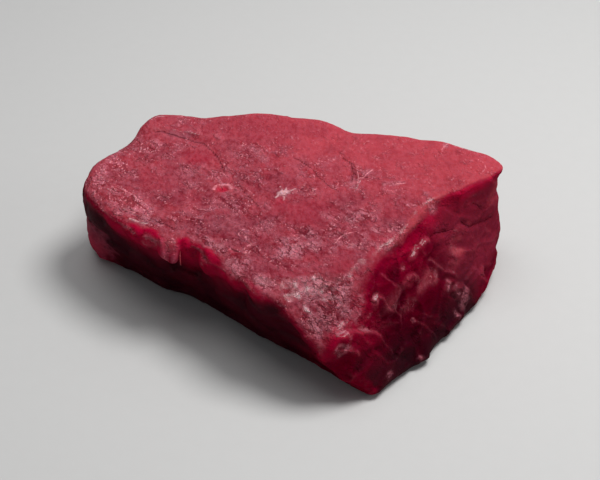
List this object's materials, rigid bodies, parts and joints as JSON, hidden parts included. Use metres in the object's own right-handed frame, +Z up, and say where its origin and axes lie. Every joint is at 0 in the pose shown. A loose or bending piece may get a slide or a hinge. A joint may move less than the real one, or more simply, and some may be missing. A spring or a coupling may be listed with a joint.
{
  "type": "raw sirloin steak",
  "caption": "Thick raw beef steak, a lean wedge with a smooth cut top, coarse torn muscle on its sides and a flat base to lie on",
  "frame": {"origin": "middle of the footprint's box, on the face that the steak lies on", "axes": "+X along the long side towards the thin raised tip, +Y to the back edge, +Z up out of the smooth cut face"},
  "size_m": [0.1244, 0.0922, 0.038],
  "materials": {
    "lean_beef": "moist raw meat, satin to glossy"
  },
  "bodies": {
    "root": {"steak": "lean_beef"}
  },
  "joints": []
}
